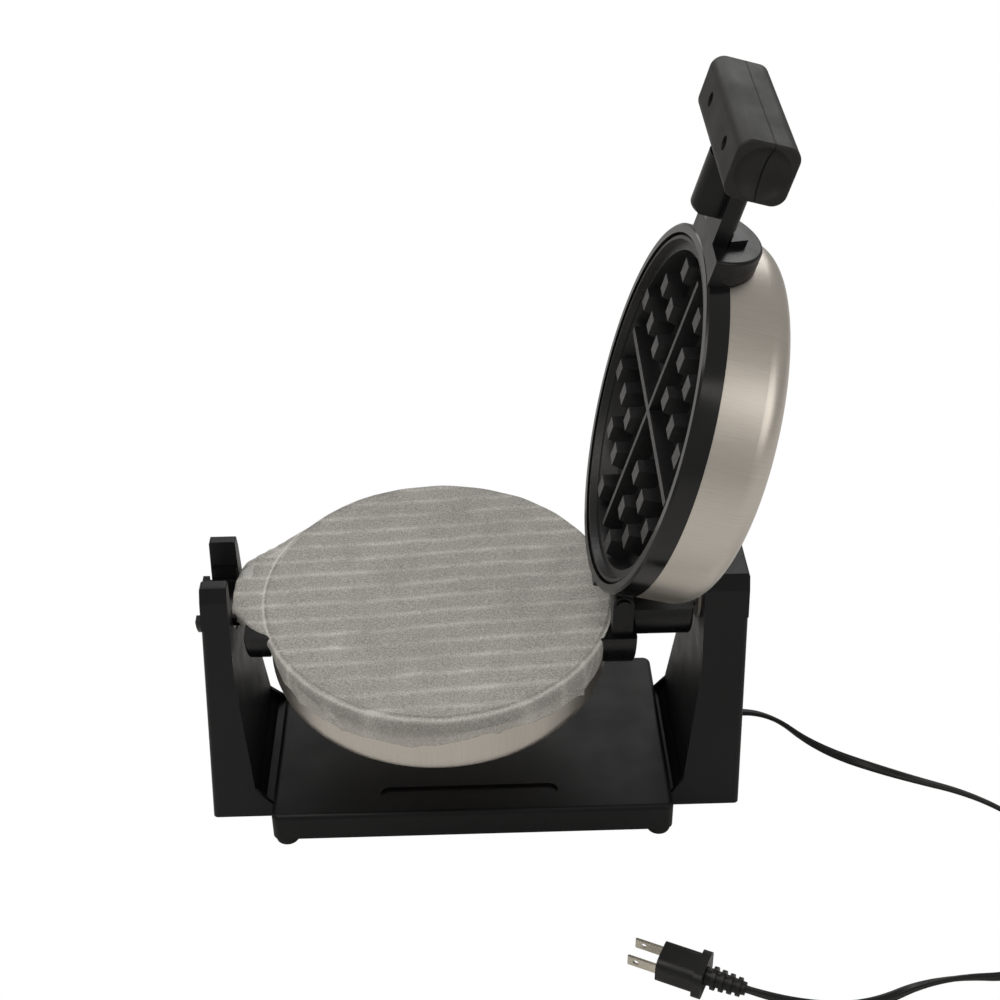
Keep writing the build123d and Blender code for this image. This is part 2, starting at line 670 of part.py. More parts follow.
def mount_plate(sign):
    # Spider that ties the grid bosses to the steel pan.
    z0 = level(sign, BOSS_END)
    z1 = level(sign, BOSS_END + MOUNT_T)
    bend_r = SHELL_CORNER - SHELL_T
    into_bend = BOSS_END + MOUNT_T - (SHELL_DEPTH - SHELL_CORNER)
    reach = SHELL_R - SHELL_CORNER + sqrt(bend_r ** 2 - max(0.0, into_bend) ** 2)
    plate = rod_z(MOUNT_R, z0, z1, HEAD_X, 0.0) - rod_z(MOUNT_HOLE_R, z0, z1, HEAD_X, 0.0)
    for angle in BOSS_ANGLES:
        arm = Pos((reach + MOUNT_ARM_START) / 2, 0, 0) * Box(reach - MOUNT_ARM_START, MOUNT_ARM_W, MOUNT_T)
        plate += Pos(HEAD_X, 0, (z0 + z1) / 2) * Rot(0, 0, angle) * arm
    for angle in BOSS_ANGLES:
        plate -= rod_z(SCREW_R + PIECE_FIT, z0, z1, *around_head(BOSS_RING, angle))
    return plate & rod_z(reach, z0, z1, HEAD_X, 0.0)


def grid_screws(sign):
    under = level(sign, BOSS_END + MOUNT_T)
    made = []
    for angle in BOSS_ANGLES:
        x, y = around_head(BOSS_RING, angle)
        head = rod_z(SCREW_HEAD_R, under, under + sign * SCREW_HEAD_H, x, y)
        made.append(head + rod_z(SCREW_R, under, level(sign, BOSS_END - SCREW_BITE + MOUNT_T), x, y))
    return made


def thermostat(sign):
    # Snap-disc can pressed to the back of the grid, with two blade tabs.
    end = PAN_FLOOR + PAN_T + THERMOSTAT_H
    can = rod_z(THERMOSTAT_R, level(sign, PAN_FLOOR + PAN_T), level(sign, end), HEAD_X, 0.0)
    for side in (-1, 1):
        y = side * TAB_SPACING / 2
        can += block(HEAD_X - TAB_W / 2, HEAD_X + TAB_W / 2, y - TAB_T / 2, y + TAB_T / 2,
                     level(sign, end), level(sign, end + TAB_H))
    return can


def drum_space():
    return rod_z(RIM_R, 0.0, 2 * AXIS_Z, HEAD_X, 0.0)


def half_disc(radius, face_x, root_x, sign):
    # Half of a thick disc that closes the drum's side, rounded at its outer edge.
    disc = rod_x(radius, face_x, root_x)
    edges = disc.edges().sort_by(Axis.X)
    disc = fillet(edges[0] if face_x < root_x else edges[-1], DISC_ROUND)
    reach = level(sign, 2 * radius)
    keep = block(min(face_x, root_x), max(face_x, root_x), -radius, radius, level(sign, 0.0), reach)
    return (disc & keep) - drum_space()


def lower_half_shaft():
    # Half disc at the ring, open trough in the fork and a collar outside it.
    out = left_out(AXIS_Z) - COLLAR_GAP
    end = out - COLLAR_T
    shaft = rod_x(COLLAR_R, end, out) + rod_x(JOURNAL_R, end, FLANGE_X + SHAFT_ROOT)
    shaft -= rod_x(JOURNAL_R - TROUGH_WALL, end, FLANGE_X - TROUGH_STOP)
    keep = block(end, 0.0, -COLLAR_R, COLLAR_R, 0.0, level(-1, 0.0))
    return (shaft & keep) + half_disc(FLANGE_R, FLANGE_X, HEAD_X - DISC_ROOT, -1)


def hinge_bracket():
    # Half disc and arm on the hinge side, with two knuckles and the shaft socket.
    body = half_disc(BRACKET_R, BRACKET_X, HEAD_X + DISC_ROOT, -1)
    arm = rod_x(BOSS_ARM_R, BRACKET_X - SHAFT_ROOT, BOSS_ARM_X)
    arm = fillet(arm.edges().sort_by(Axis.X)[-1], DISC_ROUND)
    body += arm & block(0.0, RIGHT_OUT, -BOSS_ARM_R, BOSS_ARM_R, 0.0, AXIS_Z + ARM_TOP)
    socket = rod_x(TRUNNION_R + SOCKET_WALL, BRACKET_X - SHAFT_ROOT, BOSS_ARM_X)
    body += socket & block(0.0, RIGHT_OUT, -BOSS_ARM_R, BOSS_ARM_R, 0.0, AXIS_Z + SOCKET_TOP)
    for side in (-1, 1):
        y0 = side * (LUG_HALF + KNUCKLE_GAP)
        y1 = y0 + side * KNUCKLE_W
        body += block(HINGE_X - HINGE_R, HINGE_X + HINGE_R, y0, y1, level(-1, HINGE_R), HINGE_Z)
        body += rod_y(HINGE_R, y0, y1, HINGE_X, HINGE_Z)
        body -= rod_y(HINGE_PIN_R, y0, y1, HINGE_X, HINGE_Z)
    return body - rod_x(TRUNNION_R, BRACKET_X - SHAFT_BITE, BOSS_ARM_X)


def hinge_pin():
    reach = LUG_HALF + KNUCKLE_GAP + KNUCKLE_W
    end = reach + PIN_HEAD_T
    pin = rod_y(HINGE_PIN_R, -end, end, HINGE_X, HINGE_Z)
    pin += rod_y(PIN_HEAD_R, -end, -reach, HINGE_X, HINGE_Z)
    return pin + rod_y(PIN_CLIP_R, reach, end, HINGE_X, HINGE_Z)


def trunnion_shaft():
    start = BRACKET_X - SHAFT_BITE
    return rod_x(TRUNNION_R, start, TRUNNION_END) - rod_x(TRUNNION_BORE, start, TRUNNION_END)


def trunnion_retainer():
    start = RIGHT_IN_TOP + TRAY_WALL + BUSH_PROUD + RETAINER_GAP
    ring = rod_x(TRUNNION_R + RETAINER_W, start, start + RETAINER_T)
    return ring - rod_x(TRUNNION_R, start, start + RETAINER_T)


def upper_half_shaft():
    # Half disc and ribbed stem that carry the grip; the stem rests in the trough.
    flat = level(1, 0.0)
    stem_top = AXIS_Z + STEM_TOP
    stem = block(STEM_END, FLANGE_X + SHAFT_ROOT, -STEM_HALF, STEM_HALF, flat, stem_top)
    stem = fillet(stem.edges().filter_by(Axis.X).group_by(Axis.Z)[-1], STEM_ROUND)
    groove = block(GROOVE_X - GROOVE_W, GROOVE_X, -STEM_HALF, STEM_HALF, stem_top - GROOVE_DEPTH, stem_top)
    rib_low = stem_top - GROOVE_DEPTH
    rib_high = AXIS_Z + WEB_TOP
    web = [(-STEM_HALF, rib_low), (STEM_HALF, rib_low)]
    web += [(STEM_HALF / 2, rib_high), (-STEM_HALF / 2, rib_high)]
    disc = half_disc(UPPER_FLANGE_R, FLANGE_X, HEAD_X - DISC_ROOT, 1)
    return disc + stem - groove + prism_x(web, FLANGE_X - WEB_T, FLANGE_X + SHAFT_ROOT)


def latch_tongue():
    # Locking tongue under the stem; it nests in the lower trough when shut.
    bar = block(GRIP_IN, TONGUE_IN, -TONGUE_HALF, TONGUE_HALF, AXIS_Z - TONGUE_DROP, level(1, 0.0))
    bar = bar & rod_x(JOURNAL_R - TROUGH_WALL - TONGUE_FIT, GRIP_IN, TONGUE_IN)
    nose = bar.faces().sort_by(Axis.X)[-1].edges().sort_by(Axis.Z)[0]
    return fillet(nose, TONGUE_NOSE)


def grip_blank():
    body = block(GRIP_OUT, GRIP_IN, -GRIP_HALF_LEN, GRIP_HALF_LEN,
                 AXIS_Z - GRIP_HALF_T, AXIS_Z + GRIP_HALF_T)
    body = fillet(body.edges().filter_by(Axis.Y), GRIP_CORNER)
    for side in (-1, 1):
        end = body.faces().sort_by(Axis.Y)[0 if side < 0 else -1]
        body = fillet(end.edges(), GRIP_END_ROUND)
        centre = Pos((GRIP_OUT + GRIP_IN) / 2, side * (GRIP_HALF_LEN + DISH_CENTRE), AXIS_Z)
        body -= centre * Sphere(hypot(DISH_R, DISH_CENTRE))
    return body


def grip_keep(z0, z1):
    return block(GRIP_OUT, GRIP_IN, -GRIP_HALF_LEN, GRIP_HALF_LEN, z0, z1)


def grip_screw_spots():
    return [(GRIP_SCREW_X, side * GRIP_SCREW_Y) for side in (-1, 1)]


def grip_outer_half():
    # Hollow outer shell of the grip with two screw bosses and a pocket for the stem.
    seam = level(1, 0.0)
    body = grip_blank() & grip_keep(seam, AXIS_Z + GRIP_HALF_T)
    body -= block(GRIP_OUT + GRIP_WALL, GRIP_IN - GRIP_WALL, -GRIP_HOLLOW_HALF, GRIP_HOLLOW_HALF,
                  seam, AXIS_Z + GRIP_HALF_T - GRIP_WALL)
    body -= block(GRIP_IN - GRIP_WALL, GRIP_IN, -STEM_HALF, STEM_HALF, seam, AXIS_Z + STEM_TOP)
    for x, y in grip_screw_spots():
        body += rod_z(GRIP_BOSS_R, seam, AXIS_Z + GRIP_HALF_T - GRIP_WALL / 2, x, y)
        body -= rod_z(SCREW_R, seam, AXIS_Z + GRIP_SCREW_END, x, y)
    return body


def grip_inner_half():
    seam = level(1, 0.0)
    body = grip_blank() & grip_keep(AXIS_Z - GRIP_HALF_T, seam)
    for x, y in grip_screw_spots():
        body -= rod_z(SCREW_HEAD_R, AXIS_Z - GRIP_HALF_T, AXIS_Z - GRIP_SCREW_SEAT, x, y)
        body -= rod_z(SCREW_R, AXIS_Z - GRIP_SCREW_SEAT, seam, x, y)
    return body


def grip_screws():
    made = []
    seat = AXIS_Z - GRIP_SCREW_SEAT
    for x, y in grip_screw_spots():
        head = rod_z(SCREW_HEAD_R - PIECE_FIT, seat - SCREW_HEAD_H, seat, x, y)
        made.append(head + rod_z(SCREW_R, seat - SCREW_HEAD_H / 2, AXIS_Z + GRIP_SCREW_END, x, y))
    return made


def hinge_lug():
    # Tongue of the upper ring that wraps the hinge pin.
    low = level(1, RIM_WEB)
    barrel = rod_y(HINGE_R, -LUG_HALF, LUG_HALF, HINGE_X, HINGE_Z)
    web = block(HEAD_X + DISC_ROOT, HINGE_X, -LUG_HALF, LUG_HALF, low, HINGE_Z + HINGE_R)
    body = barrel + web - rod_z(RIM_R, AXIS_Z, HINGE_Z + 2 * HINGE_R, HEAD_X, 0.0)
    return body - rod_y(HINGE_PIN_R + HINGE_FIT, -LUG_HALF, LUG_HALF, HINGE_X, HINGE_Z)


def protective_film():
    # Thin packing film over the lower grid, hanging over the ring.
    top = level(-1, 0.0) + FILM_LIFT
    sheet = rod_z(FILM_R, top - FILM_SKIRT, top + FILM_T, HEAD_X, 0.0)
    sheet -= rod_z(FILM_R - FILM_T, top - FILM_SKIRT, top, HEAD_X, 0.0)
    sheet -= block(LEFT_OUT_LOW, HEAD_X - GRID_LIMIT_R + DISC_ROUND, -FLANGE_R - TRAY_WALL,
                   FLANGE_R + TRAY_WALL, 0.0, top)
    return sheet - block(HEAD_X + MOUNT_R, RIGHT_OUT, -BRACKET_R - TRAY_WALL, BRACKET_R + TRAY_WALL,
                         0.0, HINGE_Z)


def cord_points():
    # Route of the lead: out of the tower, round behind the plug and into its relief.
    tilt_x, tilt_y = PLUG_TILT
    end_x = PLUG_FRONT[0] - tilt_x * (PLUG_LEN + PLUG_RELIEF)
    end_y = PLUG_FRONT[1] - tilt_y * (PLUG_LEN + PLUG_RELIEF)
    points = [CORD_EXIT, (CORD_EXIT[0] + CORD_STRAIGHT, CORD_EXIT[1], CORD_EXIT[2])]
    points += [(RIGHT_OUT + x, y, CORD_Z) for x, y in CORD_ROUTE]
    points.append((end_x - tilt_x * CORD_LEAD_IN, end_y - tilt_y * CORD_LEAD_IN, PLUG_Z))
    points.append((end_x, end_y, PLUG_Z))
    return points


def bend_radii(points):
    radii = []
    for a, b, c in zip(points, points[1:], points[2:]):
        first = Vector(*b) - Vector(*a)
        second = Vector(*c) - Vector(*b)
        turn = acos(max(-1.0, min(1.0, first.normalized().dot(second.normalized()))))
        radii.append(BEND_SHARE * min(first.length, second.length) / tan(turn / 2))
    return radii


def power_cord():
    points = cord_points()
    radii = bend_radii(points)
    path = FilletPolyline(*points, radius=radii)
    section = Plane(origin=path @ 0, z_dir=path % 0) * Circle(CORD_R)
    tube = sweep(section, path=path, transition=Transition.RIGHT)
    expected = pi * CORD_R ** 2 * path.length
    print("cord bends", [round(r, 1) for r in radii], "length", round(path.length, 1))
    print("cord volume ratio", round(tube.volume / expected, 4))
    return tube


def plug_place(shape):
    angle = degrees(atan2(PLUG_TILT[1], PLUG_TILT[0]))
    return Pos(PLUG_FRONT[0], PLUG_FRONT[1], PLUG_Z) * Rot(0, 0, angle) * shape


def plug_body():
    # Moulded plug: body, finger flange and ribbed bend relief along local X.
    body = Pos(-PLUG_LEN / 2, 0, 0) * Box(PLUG_LEN, PLUG_W - PLUG_WAIST, PLUG_H - PLUG_WAIST / 2)
    body = fillet(body.edges().filter_by(Axis.X), PLUG_ROUND)
    flange = Pos(-PLUG_LEN + FLANGE_T / 2, 0, 0) * Box(FLANGE_T, PLUG_W, PLUG_H)
    body += fillet(flange.edges().filter_by(Axis.X), PLUG_ROUND)
    relief = Cone(RELIEF_END_R, RELIEF_ROOT_R, PLUG_RELIEF)
    body += Pos(-PLUG_LEN - PLUG_RELIEF / 2, 0, 0) * Rot(0, 90, 0) * relief
    for step in range(RELIEF_RIBS):
        x = -PLUG_LEN - RELIEF_RIB_PITCH * (step + 1)
        radius = RELIEF_RIB_R - RELIEF_RIB_FALL * step
        body += Pos(x, 0, 0) * Rot(0, 90, 0) * Cylinder(radius, RELIEF_RIB_T)
    return plug_place(body)


def plug_blades():
    made = []
    for side in (-1, 1):
        y = side * BLADE_GAP / 2
        blade = Pos(BLADE_LEN / 2, y, 0) * Box(BLADE_LEN, BLADE_T, BLADE_H)
        blade = chamfer(blade.faces().sort_by(Axis.X)[-1].edges().filter_by(Axis.Z), BLADE_CHAMFER)
        blade -= Pos(BLADE_LEN - BLADE_HOLE_BACK, y, 0) * Rot(90, 0, 0) * Cylinder(BLADE_HOLE_R, 2 * BLADE_T)
        made.append(plug_place(blade))
    return made


def head(shape):
    # The whole head leans a little toward the viewer in its saddle, as photographed.
    return shape.rotate(Axis((0, 0, AXIS_Z), (1, 0, 0)), HEAD_LEAN)


def lid(shape):
    # Lid pieces are drawn shut and stand open, as photographed.
    return head(shape.rotate(Axis((HINGE_X, 0, HINGE_Z), (0, 1, 0)), LID_OPEN))


def still(shape):
    return shape


def pieces_of(place, made):
    # A node is a list of separate solids, set in their place.
    return [place(piece) for piece in (made if isinstance(made, list) else [made])]


STAND = {
    "base_tray": base_tray,
    "left_tower": left_tower,
    "left_upper_cover": left_upper_cover,
    "left_saddle_cap": left_saddle_cap,
    "left_saddle_liner": left_saddle_liner,
    "left_tower_floor": lambda: tower_floor(left_out(SEAM_LOW) + COVER_WALL + PIECE_FIT, -PLATE_X),
    "right_tower": right_tower,
    "right_tower_cap": right_tower_cap,
    "right_tower_floor": lambda: tower_floor(PLATE_X, RIGHT_OUT - COVER_WALL),
    "base_cover": base_cover,
    "feet": feet,
    "base_screws": base_screws,
    "trunnion_bush": trunnion_bush,
    "strain_relief": strain_relief,
    "terminal_block": terminal_block,
}
LEAD = {
    "power_cord": power_cord,
    "plug_body": plug_body,
    "plug_blades": plug_blades,
}
HEAD = {
    "lower_rim": lambda: rim(-1),
    "lower_shell": lambda: shell(-1),
    "lower_grid": lambda: grid(-1),
    "lower_element": lambda: element(-1),
    "lower_reflector": lambda: reflector(-1),
    "lower_mount_plate": lambda: mount_plate(-1),
    "lower_grid_screws": lambda: grid_screws(-1),
    "lower_thermostat": lambda: thermostat(-1),
    "lower_half_shaft": lower_half_shaft,
    "hinge_bracket": hinge_bracket,
    "hinge_pin": hinge_pin,
    "trunnion_shaft": trunnion_shaft,
    "trunnion_retainer": trunnion_retainer,
    "protective_film": protective_film,
}
LID = {
    "upper_rim": lambda: rim(1) + hinge_lug(),
    "upper_shell": lambda: shell(1),
    "upper_grid": lambda: grid(1),
    "upper_element": lambda: element(1),
    "upper_reflector": lambda: reflector(1),
    "upper_mount_plate": lambda: mount_plate(1),
    "upper_grid_screws": lambda: grid_screws(1),
    "upper_thermal_fuse": lambda: thermostat(1),
    "upper_half_shaft": upper_half_shaft,
    "latch_tongue": latch_tongue,
    "grip_inner_half": grip_inner_half,
    "grip_outer_half": grip_outer_half,
    "grip_screws": grip_screws,
}

pieces = {}
for place, group in ((still, STAND), (head, HEAD), (lid, LID), (still, LEAD)):
    for node, make in group.items():
        pieces[node] = pieces_of(place, make())

# The origin is the middle of the object's box, without the lead, on the feet's plane.
boxes = [piece.bounding_box() for node in pieces if node not in LEAD for piece in pieces[node]]
middle_x = (min(b.min.X for b in boxes) + max(b.max.X for b in boxes)) / 2
middle_y = (min(b.min.Y for b in boxes) + max(b.max.Y for b in boxes)) / 2
print("box middle", round(middle_x, 3), round(middle_y, 3))

os.makedirs("parts", exist_ok=True)
for node, made in pieces.items():
    moved = [Pos(-middle_x, -middle_y, 0) * piece for piece in made]
    shape = moved[0] if len(moved) == 1 else Compound(children=moved)
    export_step(shape, "parts/" + node + ".step")
    print(node)
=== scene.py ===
import bpy
import math
import numpy as np
from mathutils import Matrix, Vector


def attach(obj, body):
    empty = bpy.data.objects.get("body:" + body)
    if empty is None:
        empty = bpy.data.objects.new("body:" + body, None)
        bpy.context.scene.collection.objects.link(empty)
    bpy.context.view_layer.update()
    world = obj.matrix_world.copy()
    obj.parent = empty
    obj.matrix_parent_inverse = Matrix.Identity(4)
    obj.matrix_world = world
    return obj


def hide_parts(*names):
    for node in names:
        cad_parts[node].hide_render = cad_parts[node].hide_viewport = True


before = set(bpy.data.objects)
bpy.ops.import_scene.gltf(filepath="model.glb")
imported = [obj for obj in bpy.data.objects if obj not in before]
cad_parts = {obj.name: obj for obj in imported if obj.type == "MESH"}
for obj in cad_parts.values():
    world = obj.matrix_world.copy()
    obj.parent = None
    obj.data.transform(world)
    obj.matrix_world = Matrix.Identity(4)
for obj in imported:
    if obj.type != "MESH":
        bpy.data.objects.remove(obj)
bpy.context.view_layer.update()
print("frame loaded")

# Places are written in the part's drawing coordinates and shifted by the box middle.
boxMiddle = (0.007478, -0.004081)
turnHeight = 0.134
headX = -0.0175
headLean = math.radians(5.0)
hingePoint = (0.0885, 0.0, 0.156)
lidOpen = math.radians(105.5)

shiftAll = Matrix.Translation((-boxMiddle[0], -boxMiddle[1], 0.0))
turnPoint = Matrix.Translation((0.0, 0.0, turnHeight))
headMatrix = shiftAll @ turnPoint @ Matrix.Rotation(headLean, 4, "X") @ turnPoint.inverted()
hingeMove = Matrix.Translation(hingePoint)
lidMatrix = headMatrix @ hingeMove @ Matrix.Rotation(lidOpen, 4, "Y") @ hingeMove.inverted()
headMiddle = Matrix.Translation((headX, 0.0, turnHeight))


# Small helpers for node materials.
def startMaterial(name, colour, roughness, metallic=0.0):
    material = bpy.data.materials.new(name)
    material.use_nodes = True
    shader = material.node_tree.nodes["Principled BSDF"]
    shader.inputs["Base Color"].default_value = (*colour, 1.0)
    shader.inputs["Roughness"].default_value = roughness
    shader.inputs["Metallic"].default_value = metallic
    return material, shader


def addNode(material, kind, **values):
    node = material.node_tree.nodes.new(kind)
    for key, value in values.items():
        setattr(node, key, value)
    return node


def join(material, source, target):
    material.node_tree.links.new(source, target)


def objectPoint(material):
    return addNode(material, "ShaderNodeTexCoord").outputs["Object"]


def noiseAt(material, vector, scale, detail=2.0, roughness=0.5):
    noise = addNode(material, "ShaderNodeTexNoise")
    noise.inputs["Scale"].default_value = scale
    noise.inputs["Detail"].default_value = detail
    noise.inputs["Roughness"].default_value = roughness
    join(material, vector, noise.inputs["Vector"])
    return noise.outputs["Fac"]


def ramp(material, factor, stops):
    node = addNode(material, "ShaderNodeValToRGB")
    elements = node.color_ramp.elements
    while len(elements) < len(stops):
        elements.new(0.5)
    for element, (place, colour) in zip(elements, stops):
        element.position = place
        element.color = (*colour, 1.0)
    join(material, factor, node.inputs["Fac"])
    return node.outputs["Color"]


def remap(material, factor, low, high, fromLow=0.3, fromHigh=0.7):
    node = addNode(material, "ShaderNodeMapRange")
    node.inputs["From Min"].default_value = fromLow
    node.inputs["From Max"].default_value = fromHigh
    node.inputs["To Min"].default_value = low
    node.inputs["To Max"].default_value = high
    join(material, factor, node.inputs["Value"])
    return node.outputs["Result"]


def math2(material, operation, first, second, third=0.5):
    node = addNode(material, "ShaderNodeMath", operation=operation)
    node.inputs[2].default_value = third
    for socket, value in zip(node.inputs, (first, second)):
        if isinstance(value, (int, float)):
            socket.default_value = value
        else:
            join(material, value, socket)
    return node.outputs[0]


def bump(material, shader, height, distance, strength=1.0, after=None):
    node = addNode(material, "ShaderNodeBump")
    node.inputs["Distance"].default_value = distance
    node.inputs["Strength"].default_value = strength
    join(material, height, node.inputs["Height"])
    if after is not None:
        join(material, after, node.inputs["Normal"])
    join(material, node.outputs["Normal"], shader.inputs["Normal"])
    return node.outputs["Normal"]


def localPoint(material, matrix):
    # Object coordinates taken back into the drawing place of a turned piece.
    local = addNode(material, "ShaderNodeMapping", vector_type="TEXTURE")
    local.inputs["Location"].default_value = matrix.to_translation()
    local.inputs["Rotation"].default_value = matrix.to_euler("XYZ")
    join(material, objectPoint(material), local.inputs["Vector"])
    split = addNode(material, "ShaderNodeSeparateXYZ")
    join(material, local.outputs["Vector"], split.inputs[0])
    return split.outputs


def bandAt(material, value, middle, half):
    # Soft band: 1 at the middle, 0 at the middle plus or minus half.
    away = math2(material, "ABSOLUTE", math2(material, "SUBTRACT", value, middle), 0.0)
    return remap(material, away, 1.0, 0.0, 0.0, half)


# Moulded plastics: spark-eroded grain, soft tone drift and a slightly uneven gloss.
def mouldedPlastic(name, look):
    material, shader = startMaterial(name, look["colour"], look["roughness"])
    point = objectPoint(material)
    drift = noiseAt(material, point, 14.0, 3.0)
    tone = [tuple(c * k for c in look["colour"]) for k in (1.0 - look["drift"], 1.0 + look["drift"])]
    join(material, ramp(material, drift, [(0.3, tone[0]), (0.7, tone[1])]), shader.inputs["Base Color"])
    gloss = noiseAt(material, point, 55.0, 4.0)
    spread = look["spread"]
    join(material, remap(material, gloss, look["roughness"] - spread, look["roughness"] + spread),
         shader.inputs["Roughness"])
    grain = noiseAt(material, point, look["grain"], 3.0, 0.6)
    bump(material, shader, grain, look["depth"], 0.6)
    shader.inputs["IOR"].default_value = 1.5
    shader.inputs["Specular IOR Level"].default_value = look["shine"]
    return material


def addSeam(name, matrix, height, half):
    # Dark parting line of two moulded halves at one height of the shut drawing place.
    material = made[name]
    shader = material.node_tree.nodes["Principled BSDF"]
    line = bandAt(material, localPoint(material, matrix)[2], height, half)
    before = shader.inputs["Base Color"].links[0].from_socket
    mix = addNode(material, "ShaderNodeMix", data_type="RGBA")
    join(material, line, mix.inputs["Factor"])
    join(material, before, mix.inputs[6])
    mix.inputs[7].default_value = (0.0008, 0.0008, 0.0008, 1.0)
    join(material, mix.outputs[2], shader.inputs["Base Color"])
    groove = math2(material, "SUBTRACT", 1.0, line)
    bump(material, shader, groove, 0.0005, 1.0, shader.inputs["Normal"].links[0].from_socket)


plastics = {
    "standBlack": dict(colour=(0.0050, 0.0050, 0.0058), roughness=0.42, drift=0.20, spread=0.05,
                       grain=2600.0, depth=0.00006, shine=0.22),
    "towerBlack": dict(colour=(0.0052, 0.0053, 0.0064), roughness=0.38, drift=0.20, spread=0.05,
                       grain=2400.0, depth=0.00005, shine=0.28),
    "ringBlack": dict(colour=(0.0040, 0.0040, 0.0044), roughness=0.16, drift=0.15, spread=0.04,
                      grain=700.0, depth=0.00002, shine=0.45),
    "shaftBlack": dict(colour=(0.0048, 0.0048, 0.0053), roughness=0.30, drift=0.18, spread=0.05,
                       grain=1600.0, depth=0.00004, shine=0.30),
    "gripBlack": dict(colour=(0.0120, 0.0119, 0.0118), roughness=0.52, drift=0.20, spread=0.06,
                      grain=1500.0, depth=0.00012, shine=0.35),
    "footRubber": dict(colour=(0.0100, 0.0100, 0.0100), roughness=0.70, drift=0.25, spread=0.08,
                       grain=1200.0, depth=0.00008, shine=0.30),
    "cordVinyl": dict(colour=(0.0060, 0.0060, 0.0065), roughness=0.40, drift=0.20, spread=0.06,
                      grain=1500.0, depth=0.00004, shine=0.35),
    "bushPolymer": dict(colour=(0.47, 0.45, 0.40), roughness=0.50, drift=0.08, spread=0.05,
                        grain=1300.0, depth=0.00004, shine=0.50),
}


# Brushed steel: the strokes run along the drum's axis, so the pattern is fine round the axis only.
def drumSteel(name, look, matrix):
    material, shader = startMaterial(name, look["colour"], look["roughness"], 1.0)
    across, along, up = localPoint(material, matrix @ headMiddle)
    squares = math2(material, "ADD", math2(material, "MULTIPLY", across, across),
                    math2(material, "MULTIPLY", along, along))
    radius = math2(material, "SQRT", squares, 0.0)
    # The direction round the axis is (x, y) / r, which has no seam.
    turned = addNode(material, "ShaderNodeCombineXYZ")
    for socket, part in zip(turned.inputs, (across, along)):
        share = math2(material, "DIVIDE", part, radius)
        join(material, math2(material, "MULTIPLY", share, look["round"]), socket)
    join(material, math2(material, "MULTIPLY", math2(material, "ADD", radius, up), look["stroke"]),
         turned.inputs[2])
    streak = noiseAt(material, turned.outputs[0], 5.5, 6.0, 0.75)
    broad = noiseAt(material, objectPoint(material), 9.0, 2.0)
    dark, light = look["tones"]
    join(material, ramp(material, streak, [(0.30, dark), (0.70, light)]), shader.inputs["Base Color"])
    rough = math2(material, "ADD", remap(material, streak, -0.05, 0.05),
                  remap(material, broad, look["roughness"] - 0.03, look["roughness"] + 0.03))
    join(material, rough, shader.inputs["Roughness"])
    bump(material, shader, streak, look["depth"], 0.7)
    return material


steelLook = dict(colour=(0.66, 0.62, 0.56), roughness=0.36, round=34.0, stroke=7.0, depth=0.00005,
                 tones=((0.60, 0.56, 0.505), (0.70, 0.66, 0.60)))


# Cast plate with non-stick coating: orange peel, fine pits and small specks.
def castCoating(name, look):
    material, shader = startMaterial(name, look["colour"], look["roughness"])
    point = objectPoint(material)
    peel = noiseAt(material, point, 420.0, 4.0, 0.6)
    speck = addNode(material, "ShaderNodeTexVoronoi")
    speck.inputs["Scale"].default_value = 900.0
    join(material, point, speck.inputs["Vector"])
    tone = ramp(material, speck.outputs["Distance"], [(0.05, look["speck"]), (0.18, look["colour"])])
    join(material, tone, shader.inputs["Base Color"])
    join(material, remap(material, peel, look["roughness"] - 0.06, look["roughness"] + 0.08),
         shader.inputs["Roughness"])
    bump(material, shader, peel, look["depth"], 0.6)
    shader.inputs["Specular IOR Level"].default_value = look["shine"]
    return material


coatingLook = dict(colour=(0.0065, 0.0065, 0.0070), speck=(0.0160, 0.0160, 0.0170), roughness=0.36,
                   depth=0.00008, shine=0.45)


# Plain metals: fine random brushing, a little tarnish.
def plainMetal(name, look):
    material, shader = startMaterial(name, look["colour"], look["roughness"], 1.0)
    point = objectPoint(material)
    haze = noiseAt(material, point, 130.0, 5.0, 0.6)
    dull = tuple(c * 0.78 for c in look["colour"])
    join(material, ramp(material, haze, [(0.35, dull), (0.65, look["colour"])]), shader.inputs["Base Color"])
    join(material, remap(material, haze, look["roughness"] + 0.08, look["roughness"] - 0.04),
         shader.inputs["Roughness"])
    bump(material, shader, noiseAt(material, point, 1800.0, 2.0), 0.00003, 0.5)
    return material


metals = {
    "plainSteel": dict(colour=(0.42, 0.42, 0.43), roughness=0.32),
    "brightSheet": dict(colour=(0.72, 0.72, 0.72), roughness=0.28),
    "zincScrew": dict(colour=(0.55, 0.55, 0.57), roughness=0.34),
    "bladeMetal": dict(colour=(0.74, 0.70, 0.60), roughness=0.24),
}


